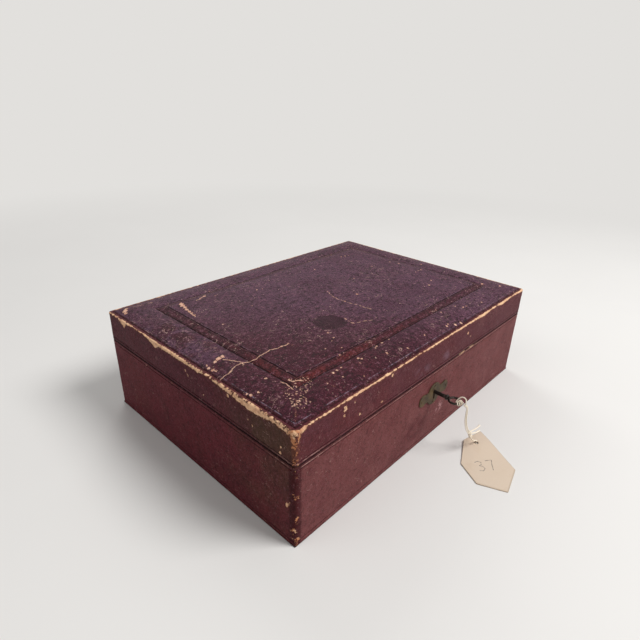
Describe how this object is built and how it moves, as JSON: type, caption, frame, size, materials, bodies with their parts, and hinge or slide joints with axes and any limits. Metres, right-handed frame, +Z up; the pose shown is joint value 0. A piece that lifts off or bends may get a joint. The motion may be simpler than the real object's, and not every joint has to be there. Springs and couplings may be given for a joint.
{
  "type": "toiletry case",
  "caption": "Leather covered toiletry case with a cushioned hinged lid, a lock and key, a lined inside with a lift-out tray, and a paper tag on a string.",
  "frame": {"origin": "under the middle of the case, on the surface that it stands on", "axes": "+X to the right along the front, +Y to the back, +Z up; the key and its string are at the front, on the -Y side"},
  "size_m": [0.3, 0.2932, 0.0928],
  "materials": {
    "leather_top": "semi-gloss, worn",
    "leather_side": "semi-gloss, worn",
    "leather_cover": "matt, scuffed",
    "pine": "sawn",
    "velvet": "napped",
    "satin": "soft sheen",
    "wadding": "matt",
    "brass_aged": "patinated",
    "brass": "worn bright",
    "steel_dark": "dark, handled",
    "steel": "plain",
    "string": "twisted cotton",
    "tag_paper": "matt, aged",
    "tab_leather": "matt"
  },
  "bodies": {
    "base": {"bottom_cover": "leather_cover", "bottom_board": "pine", "board_front": "pine", "board_back": "pine", "board_left": "pine", "board_right": "pine", "base_leather": "leather_side", "lining_front": "velvet", "lining_back": "velvet", "lining_left": "velvet", "lining_right": "velvet", "floor_pad": "velvet", "ledge_front": "velvet", "ledge_back": "velvet", "ledge_left": "velvet", "ledge_right": "velvet", "divider_long": "velvet", "divider_left": "velvet", "divider_right": "velvet", "lock_case": "brass", "lock_back_plate": "brass", "lock_top_plate": "brass", "lock_screws": "brass", "drill_pin": "steel", "bolt_guide_pins": "brass", "escutcheon": "brass_aged", "escutcheon_pins": "brass_aged", "hinge_leaves_base": "brass", "hinge_pins": "brass", "hinge_screws_base": "brass", "tag_string": "string", "tag_string_second": "string", "string_knot": "string", "tag_knot": "string", "paper_tag": "tag_paper"},
    "lid": {"lid_board": "pine", "lid_rail_front": "pine", "lid_rail_back": "pine", "lid_rail_left": "pine", "lid_rail_right": "pine", "lid_side_leather": "leather_side", "lid_wadding": "wadding", "lid_top_leather": "leather_top", "lid_lining_strip": "satin", "lid_lining_pad": "satin", "hinge_leaves_lid": "brass", "hinge_screws_lid": "brass", "link_plate": "brass", "link_plate_screws": "brass"},
    "key": {"key": "steel_dark", "bow_hitch": "string"},
    "bolt": {"lock_bolt": "brass"},
    "tray": {"tray_base": "velvet", "tray_wall_front": "velvet", "tray_wall_back": "velvet", "tray_wall_left": "velvet", "tray_wall_right": "velvet", "tray_divider_long": "velvet", "tray_divider_short": "velvet", "tray_tabs": "tab_leather"}
  },
  "joints": [
    {"name": "lid_hinge", "type": "hinge", "parent": "base", "child": "lid", "pos_m": [0, 0.1092, 0.06277], "axis": [-1, 0, 0], "range_deg": [0, 98]},
    {"name": "key_turn", "type": "hinge", "parent": "base", "child": "key", "pos_m": [-0.001, -0.115, 0.0436], "axis": [0, 1, 0], "range_deg": [-90, 270]},
    {"name": "bolt_slide", "type": "slide", "parent": "base", "child": "bolt", "axis": [1, 0, 0], "range_m": [-0.00125, 0.00375]},
    {"name": "tray_lift", "type": "slide", "parent": "base", "child": "tray", "axis": [0, 0, 1], "range_m": [0, 0.019]}
  ],
  "couplings": [
    {"joint": "key_turn", "follows": "bolt_slide", "rad_per_m": 1256.6}
  ]
}
